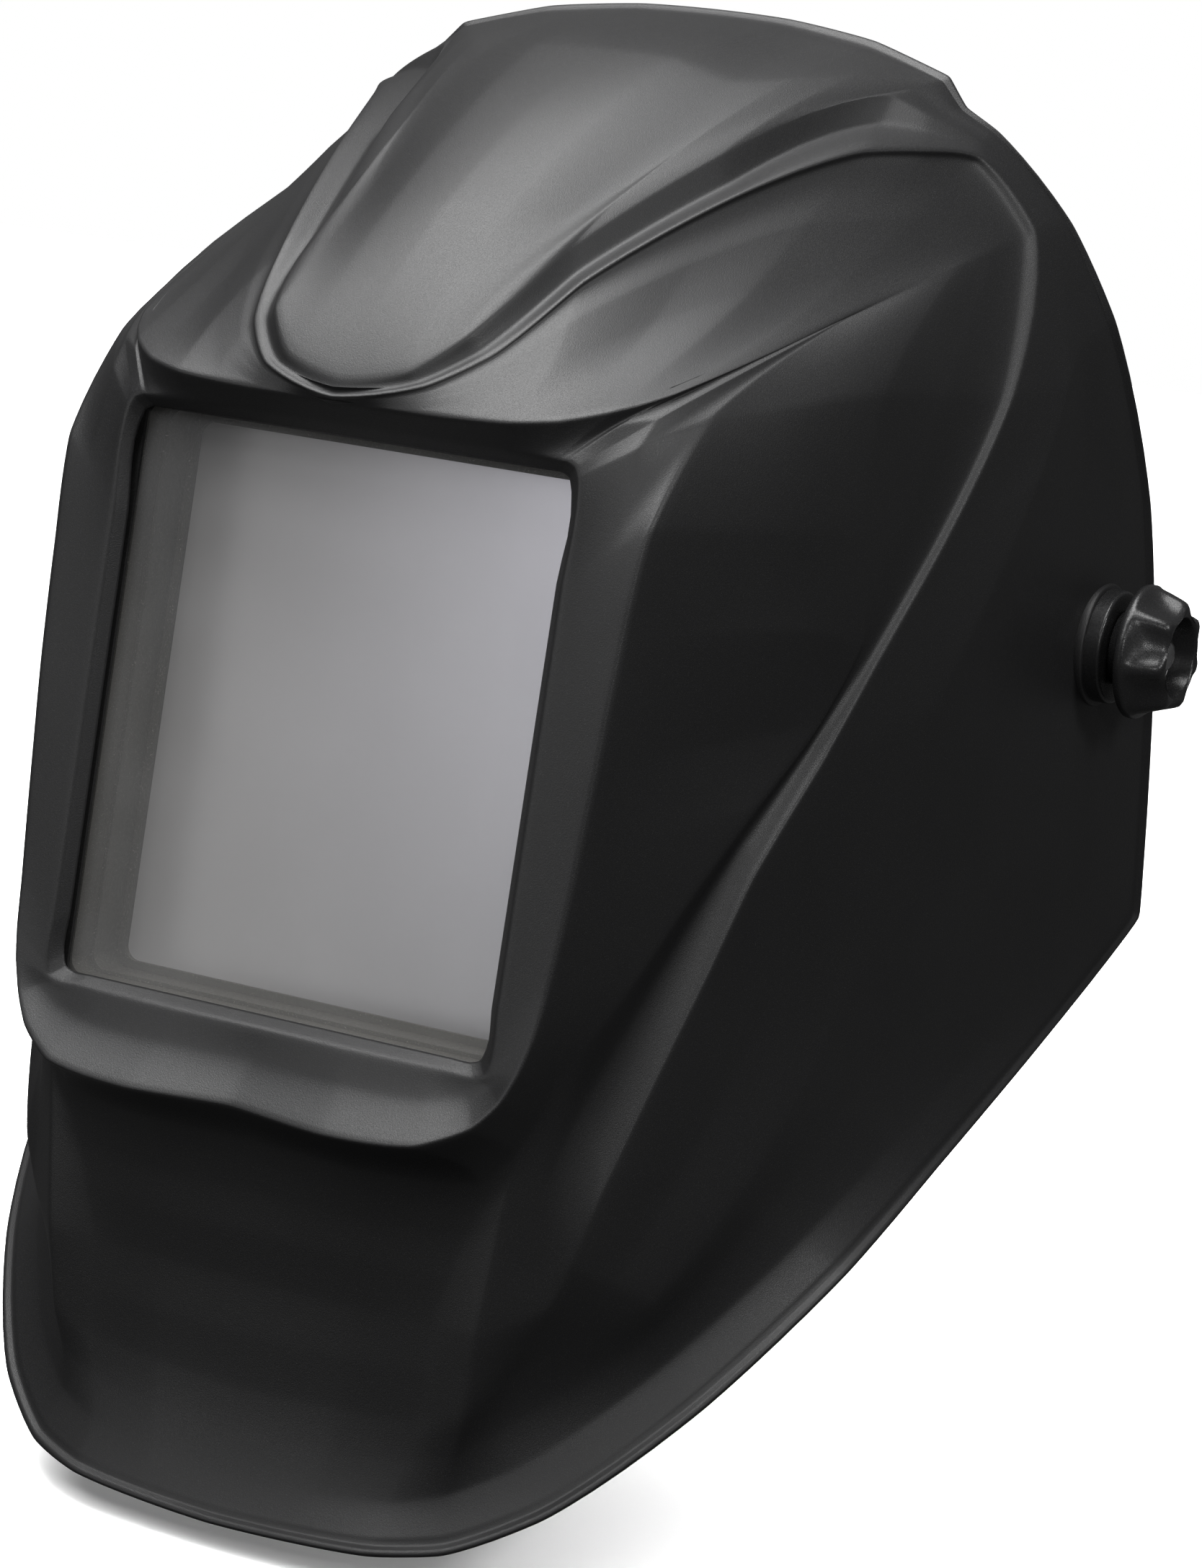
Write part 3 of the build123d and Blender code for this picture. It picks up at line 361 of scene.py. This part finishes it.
KNOB_FLUTES, FLUTE_DEPTH, KNOB_FACETS, BOSS_FACETS = 7, 2.6, 112, 64
BOSS_RINGS = [(105.5, 5.06, 0), (110.3, 5.06, 0), (110.3, 14.4, 0), (110.2, 14.85, 0),
              (109.9, 15, 0), (105.5, 15, 0)]

shell = build_shell()
knobs, bosses = [], []
for side_name, side in SIDES.items():
    knob = turned(f"{side_name}_knob_grip", side, KNOB_RINGS, KNOB_FACETS, KNOB_FLUTES,
                  FLUTE_DEPTH)
    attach(knob, f"{side_name}_knob")
    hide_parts(f"{side_name}_tension_knob")
    knobs.append(knob)
    boss = turned(f"{side_name}_boss", side, BOSS_RINGS, BOSS_FACETS)
    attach(boss, "shell")
    bosses.append(boss)

LUG_CORNERS, LUG_EDGE = ((101, -26.5, 0), (106.5, -19.5, 6)), 0.8


def block(name, low, high, edge):
    """A block between two corners with rounded edges."""
    shape = bmesh.new()
    bmesh.ops.create_cube(shape, size=1)
    low, high = (Vector(corner) * MM for corner in (low, high))
    for vert in shape.verts:
        vert.co = [(a + b) / 2 + (b - a) * c for a, b, c in zip(low, high, vert.co)]
    bmesh.ops.bevel(shape, geom=shape.edges, offset=edge * MM, segments=3, affect="EDGES",
                    profile=0.5)
    mesh = bpy.data.meshes.new(name)
    shape.to_mesh(mesh)
    shape.free()
    obj = bpy.data.objects.new(name, mesh)
    bpy.context.scene.collection.objects.link(obj)
    return obj


lug = block("stop_lug", *LUG_CORNERS, LUG_EDGE)
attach(lug, "shell")

# ---------------------------------------------------------------- soft pads
OVAL_A, FRONT_B, REAR_B, FRONT_CENTRE, REAR_CENTRE = 79, 77, 84, -15, 20
UPRIGHT_POINTS = 11
PRESSURE, BLOWN_FRAMES = 4, 20


def oval_path(start, end, rear, count):
    """Points and outward directions along the headband's oval, right side to left."""
    b, centre = (REAR_B, REAR_CENTRE) if rear else (-FRONT_B, FRONT_CENTRE)
    angles = np.linspace(start, end, count)
    place = np.stack([OVAL_A * np.cos(angles), centre + b * np.sin(angles),
                      np.zeros(count)], axis=1)
    out = np.stack([np.cos(angles) / OVAL_A, np.sin(angles) / b, np.zeros(count)], axis=1)
    return place, unit(out)


def pad_form(name, start, end, rear, growths, heights, count):
    """A thin closed pad along the oval, rounded over its long edges."""
    place, out = oval_path(start, end, rear, count)
    low, high = heights
    inner, outer = growths
    upright = np.linspace(low, high, UPRIGHT_POINTS)
    middle = (inner + outer) / 2
    section = ([(outer, z) for z in upright[1:-1]] + [(middle, high)]
               + [(inner, z) for z in upright[-2:0:-1]] + [(middle, low)])
    points = [place + out * grow + np.array((0, 0, z)) for grow, z in section]
    around = len(section)
    points = np.stack(points, axis=1).reshape(-1, 3)
    faces = [tuple(range(around)), tuple(range((count - 1) * around, count * around))]
    for i in range(count - 1):
        for j in range(around):
            m = (j + 1) % around
            faces.append((i * around + j, i * around + m,
                          (i + 1) * around + m, (i + 1) * around + j))
    obj = new_mesh(name, points * MM, faces)
    face_outwards(obj)
    return obj, around


def inflate(obj, around, seam_every, cap):
    """Blow the pad up as cloth, held along its seams, no point moving further than cap."""
    held = obj.vertex_groups.new(name="seams")
    count = len(obj.data.vertices) // around
    seams = [i for i in range(count) if i % seam_every == 0 or i == count - 1]
    held.add([i * around + j for i in seams for j in range(around)], 1, "REPLACE")
    start = np.array([v.co for v in obj.data.vertices])
    cloth = obj.modifiers.new("cloth", "CLOTH")
    cloth.settings.vertex_group_mass = "seams"
    cloth.settings.use_pressure = True
    cloth.settings.uniform_pressure_force = PRESSURE
    cloth.settings.effector_weights.gravity = 0
    for step in range(1, BLOWN_FRAMES + 1):
        bpy.context.scene.frame_set(step)
    blown = obj.evaluated_get(bpy.context.evaluated_depsgraph_get())
    moved = np.array([v.co for v in blown.data.vertices]) - start
    obj.modifiers.remove(cloth)
    bpy.context.scene.frame_set(1)
    length = np.linalg.norm(moved, axis=1, keepdims=True)
    moved *= np.minimum(1, cap * MM / np.maximum(length, 1e-9))
    for vert, place in zip(obj.data.vertices, start + moved):
        vert.co = place
    obj.modifiers.new("smooth", "SUBSURF").levels = 1


SWEAT_ARC, REAR_ARC = 0.252, 1.03   # the angles where the pads start, from the right side
SEAM_EVERY, SWELL = 5, 1.1
# each pad's body, first angle, side of the head, inner and outer growth, heights and points
PADS = {"sweatband": ("headgear", SWEAT_ARC, False, (-5.4, -2.3), (19, 53), 61),
        "rear_pad": ("rear_cradle", REAR_ARC, True, (-6.4, -2.7), (-43, -15), 31)}
pads = []
for node, (body, start, rear, growths, heights, count) in PADS.items():
    pad, around = pad_form(f"{node}_padding", start, pi - start, rear, growths, heights, count)
    inflate(pad, around, SEAM_EVERY, SWELL)
    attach(pad, body)
    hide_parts(node)
    pads.append(pad)

# ---------------------------------------------------------------- materials
NOISE_LOW, NOISE_HIGH = 0.3, 0.7   # the levels between which nearly all of the noise lies
GRAIN_RELIEF = 0.0003


class Nodes:
    """A short way to wire a material's nodes."""

    def __init__(self, name):
        self.material = bpy.data.materials.new(name)
        self.material.use_nodes = True
        self.tree = self.material.node_tree
        self.shader = self.tree.nodes["Principled BSDF"]
        coords = self.add("ShaderNodeTexCoord")
        self.place = coords.outputs["Object"]

    def add(self, kind, **values):
        """A new node, with its inputs linked or set by name."""
        node = self.tree.nodes.new(kind)
        for key, value in values.items():
            self.put(node, key.replace("_", " "), value)
        return node

    def put(self, node, socket, value):
        """Link or set one input."""
        if isinstance(value, bpy.types.NodeSocket):
            self.tree.links.new(value, node.inputs[socket])
        else:
            node.inputs[socket].default_value = value

    def noise(self, scale, detail=2.0):
        """Noise at this many cells per metre."""
        node = self.add("ShaderNodeTexNoise", Scale=scale, Detail=detail, Vector=self.place)
        return node.outputs["Fac"]

    def span(self, value, low, high, out_low, out_high):
        """Map a value from one range to another, held inside it."""
        node = self.add("ShaderNodeMapRange")
        for name, v in zip(("Value", "From Min", "From Max", "To Min", "To Max"),
                           (value, low, high, out_low, out_high)):
            self.put(node, name, v)
        return node.outputs["Result"]

    def blend(self, share, first, second):
        """Mix two colours."""
        node = self.tree.nodes.new("ShaderNodeMix")
        node.data_type = "RGBA"
        self.put(node, 0, share)
        self.put(node, 6, first)
        self.put(node, 7, second)
        return node.outputs[2]

    def bump(self, height, strength, distance, normal=None):
        """A bump from a height."""
        node = self.add("ShaderNodeBump", Strength=strength, Distance=distance, Height=height)
        if normal is not None:
            self.put(node, "Normal", normal)
        return node.outputs["Normal"]

    def finish(self, **values):
        """Set the shader's inputs by name."""
        for key, value in values.items():
            self.put(self.shader, key.replace("_", " "), value)
        return self.material


CLOUD_SCALE, SPECK_SCALE, SPECK_LIGHT = 14, 1.7, 3.2


def grained_plastic(name, dark, light, grain, rough, bump):
    """Moulded plastic with a fine spark-eroded grain and faint wear in its colour."""
    n = Nodes(name)
    fine = n.noise(grain, 3)
    cloud = n.noise(CLOUD_SCALE, 4)
    speck = n.span(n.noise(grain * SPECK_SCALE, 1), 0.62, 0.8, 0, 1)
    base = n.blend(n.span(cloud, NOISE_LOW, NOISE_HIGH, 0, 1), (*dark, 1), (*light, 1))
    color = n.blend(speck, base, (*(SPECK_LIGHT * c for c in light), 1))
    roughness = n.span(fine, NOISE_LOW, NOISE_HIGH, rough - 0.06, rough + 0.1)
    return n.finish(Base_Color=color, Roughness=roughness, Specular_IOR_Level=0.5,
                    Normal=n.bump(fine, bump, GRAIN_RELIEF))


def paint(obj, material):
    """Give an object one material."""
    obj.data.materials.clear()
    obj.data.materials.append(material)


STREAK_SCALE, STREAK_TONE = 900, 0.85


def metal(name, color, rough):
    """Plated or turned metal, faintly brushed."""
    n = Nodes(name)
    streak = n.noise(STREAK_SCALE, 2)
    dark = [STREAK_TONE * c for c in color]
    tone = n.blend(n.span(streak, NOISE_LOW, NOISE_HIGH, 0, 1), (*dark, 1), (*color, 1))
    return n.finish(Base_Color=tone, Metallic=1.0,
                    Roughness=n.span(streak, NOISE_LOW, NOISE_HIGH, rough - 0.05, rough + 0.08))


def clear_plate(name):
    """A clear polished plate that shows as a faint film."""
    n = Nodes(name)
    film = n.noise(25, 2)
    return n.finish(Base_Color=n.blend(film, (0.7, 0.7, 0.7, 1), (0.8, 0.8, 0.82, 1)),
                    Roughness=0.08, Alpha=n.span(film, NOISE_LOW, NOISE_HIGH, 0.05, 0.08))


def filter_plate(name):
    """A coated filter, its colour painted paler to the top right as a painted reflection."""
    n = Nodes(name)
    split = n.add("ShaderNodeSeparateXYZ", Vector=n.place)
    across = n.span(split.outputs["X"], -0.055, 0.055, 0, 1)
    along = n.span(split.outputs["Z"], -0.09, 0.035, 0, 1)
    # painted reflection: the colour runs from grey at the bottom left to pale lavender at the top
    # right, in place of the lights' reflection
    grey = n.blend(across, (0.31, 0.303, 0.3, 1), (0.28, 0.278, 0.29, 1))
    painted_reflection = n.blend(across, (0.36, 0.35, 0.345, 1), (0.62, 0.61, 0.67, 1))
    haze = n.noise(18, 3)
    color = n.blend(n.span(haze, NOISE_LOW, NOISE_HIGH, 0, 0.06), n.blend(along, grey, painted_reflection),
                    (0.3, 0.3, 0.3, 1))
    mirror = n.span(split.outputs["X"], -0.03, 0.05, 0.12, 0.85)   # more so on the right
    return n.finish(Base_Color=color, Roughness=0.3, Metallic=mirror)


def knit(name):
    """Dark knitted cover with rows of small punched holes, painted near black as shade."""
    n = Nodes(name)
    weave = n.noise(1600, 2)
    holes = n.tree.nodes.new("ShaderNodeTexVoronoi")
    n.put(holes, "Scale", 260.0)
    n.put(holes, "Randomness", 0.0)
    n.tree.links.new(n.place, holes.inputs["Vector"])
    hole = n.span(holes.outputs["Distance"], 0.22, 0.3, 0, 1)
    tone = n.blend(n.span(weave, NOISE_LOW, NOISE_HIGH, 0, 1), (0.018, 0.018, 0.02, 1),
                   (0.04, 0.04, 0.044, 1))
    # painted shade: each hole is painted near black for the shade inside it
    color = n.blend(hole, (0.004, 0.004, 0.004, 1), tone)
    return n.finish(Base_Color=color, Roughness=0.9, Specular_IOR_Level=0.2,
                    Normal=n.bump(hole, 0.5, 0.0006, n.bump(weave, 0.4, 0.0003)))


PLASTICS = {               # dark and light tones, grain, roughness and bump
    "shell_nylon": ((0.011, 0.011, 0.0115), (0.016, 0.016, 0.0165), 3500, 0.44, 0.18),
    "knob_nylon": ((0.012, 0.012, 0.0125), (0.018, 0.018, 0.0185), 2500, 0.27, 0.12),
    "holder_plastic": ((0.045, 0.043, 0.036), (0.06, 0.057, 0.048), 1800, 0.5, 0.1),
    "headgear_plastic": ((0.014, 0.014, 0.015), (0.022, 0.022, 0.024), 1800, 0.4, 0.15),
    "acetal": ((0.012, 0.012, 0.012), (0.018, 0.018, 0.018), 1200, 0.3, 0.05),
    "rubber_black": ((0.006, 0.006, 0.006), (0.009, 0.009, 0.009), 1500, 0.7, 0.2)}
METALS = {"zinc_steel": ((0.55, 0.55, 0.56), 0.3), "brass_insert": ((0.32, 0.3, 0.26), 0.35)}
MATERIALS = {name: grained_plastic(name, *look) for name, look in PLASTICS.items()}
MATERIALS.update({name: metal(name, *look) for name, look in METALS.items()})
MATERIALS["clear_polycarbonate"] = clear_plate("clear_polycarbonate")
MATERIALS["shade_filter"] = filter_plate("shade_filter")
MATERIALS["pad_fabric"] = knit("pad_fabric")
for part in frame["record"]["subparts"]:
    paint(frame["nodes"][part["node"]], MATERIALS[part["material_slot"]])
for piece in (shell, lug, *bosses):
    paint(piece, MATERIALS["shell_nylon"])
for piece in knobs:
    paint(piece, MATERIALS["knob_nylon"])
for piece in pads:
    paint(piece, MATERIALS["pad_fabric"])

# ---------------------------------------------------------------- studio

CAMERA_PLACE, LENS = (0.4925, -1.0245, 0.1096), 103.93
CAMERA_TURN, CAMERA_RISE, CAMERA_ROLL = radians(26.58), radians(8.27), radians(6.95)


def add_camera():
    """A long lens to the right of the front, looking slightly down and tipped over."""
    data = bpy.data.cameras.new("camera")
    data.lens = LENS
    data.clip_start = 0.05
    camera = bpy.data.objects.new("camera", data)
    camera.matrix_world = (Matrix.Translation(CAMERA_PLACE)
                           @ Matrix.Rotation(CAMERA_TURN, 4, "Z")
                           @ Matrix.Rotation(pi / 2 - CAMERA_RISE, 4, "X")
                           @ Matrix.Rotation(CAMERA_ROLL, 4, "Z"))
    bpy.context.scene.collection.objects.link(camera)
    bpy.context.scene.camera = camera


def add_light(name, place, target, size, power):
    """A rectangular soft light that looks at a target."""
    data = bpy.data.lights.new(name, "AREA")
    data.shape = "RECTANGLE"
    data.size, data.size_y = size
    data.energy = power
    light = bpy.data.objects.new(name, data)
    light.location = place
    light.rotation_mode = "QUATERNION"
    light.rotation_quaternion = (Vector(target) - Vector(place)).to_track_quat("-Z", "Y")
    bpy.context.scene.collection.objects.link(light)


def add_world(seen, given):
    """A white surround that shows at one strength and lights the object at another."""
    world = bpy.data.worlds.new("studio")
    world.use_nodes = True
    tree = world.node_tree
    path = tree.nodes.new("ShaderNodeLightPath")
    strength = tree.nodes.new("ShaderNodeMapRange")
    strength.inputs["To Min"].default_value = given
    strength.inputs["To Max"].default_value = seen
    tree.links.new(path.outputs["Is Camera Ray"], strength.inputs["Value"])
    background = tree.nodes["Background"]
    background.inputs["Color"].default_value = (1, 1, 1, 1)
    tree.links.new(strength.outputs["Result"], background.inputs["Strength"])
    bpy.context.scene.world = world


LIGHTS = {                 # place, target, size and power
    "top": ((-0.2, -0.3, 1.25), (0, -0.08, 0.05), (1.3, 1.1), 34),
    "card": ((-0.8, -1.6, 0.05), (0, -0.18, -0.03), (1.2, 1.2), 5),
    "front": ((-0.1, -1.4, 0.95), (0, -0.15, 0), (0.5, 0.5), 4.6),
    "right": ((1.25, -0.4, 0.8), (0.03, -0.1, -0.05), (0.3, 0.3), 5),
    "glint": ((0.92, -1.22, 0.43), (0.06, -0.16, -0.1), (0.16, 0.16), 2.4)}
WORLD_SEEN, WORLD_GIVEN = 1.0, 0.07
FLOOR_HEIGHT, FLOOR_HALF = -0.2125, 6
SUN_POWER, SUN_SPREAD = 7, radians(100)

add_camera()
add_world(WORLD_SEEN, WORLD_GIVEN)
bpy.context.scene.view_settings.view_transform = "Standard"
for name, look in LIGHTS.items():
    add_light(name, *look)

floor_mesh = bmesh.new()
bmesh.ops.create_grid(floor_mesh, x_segments=1, y_segments=1, size=FLOOR_HALF)
floor_data = bpy.data.meshes.new("floor")
floor_mesh.to_mesh(floor_data)
floor_mesh.free()
floor = bpy.data.objects.new("floor", floor_data)
floor.location = (0, 0, FLOOR_HEIGHT)
floor_only = bpy.data.collections.new("floor_only")
bpy.context.scene.collection.children.link(floor_only)
floor_only.objects.link(floor)
floor.visible_glossy = False
floor.visible_diffuse = False
sun_data = bpy.data.lights.new("floor_sun", "SUN")
sun_data.energy = SUN_POWER
sun_data.angle = SUN_SPREAD
sun = bpy.data.objects.new("floor_sun", sun_data)
bpy.context.scene.collection.objects.link(sun)
sun.light_linking.receiver_collection = floor_only
n = Nodes("floor_white")
paint(floor, n.finish(Base_Color=n.blend(n.noise(3), (0.86, 0.86, 0.86, 1), (0.9, 0.9, 0.9, 1)),
                      Roughness=0.9))
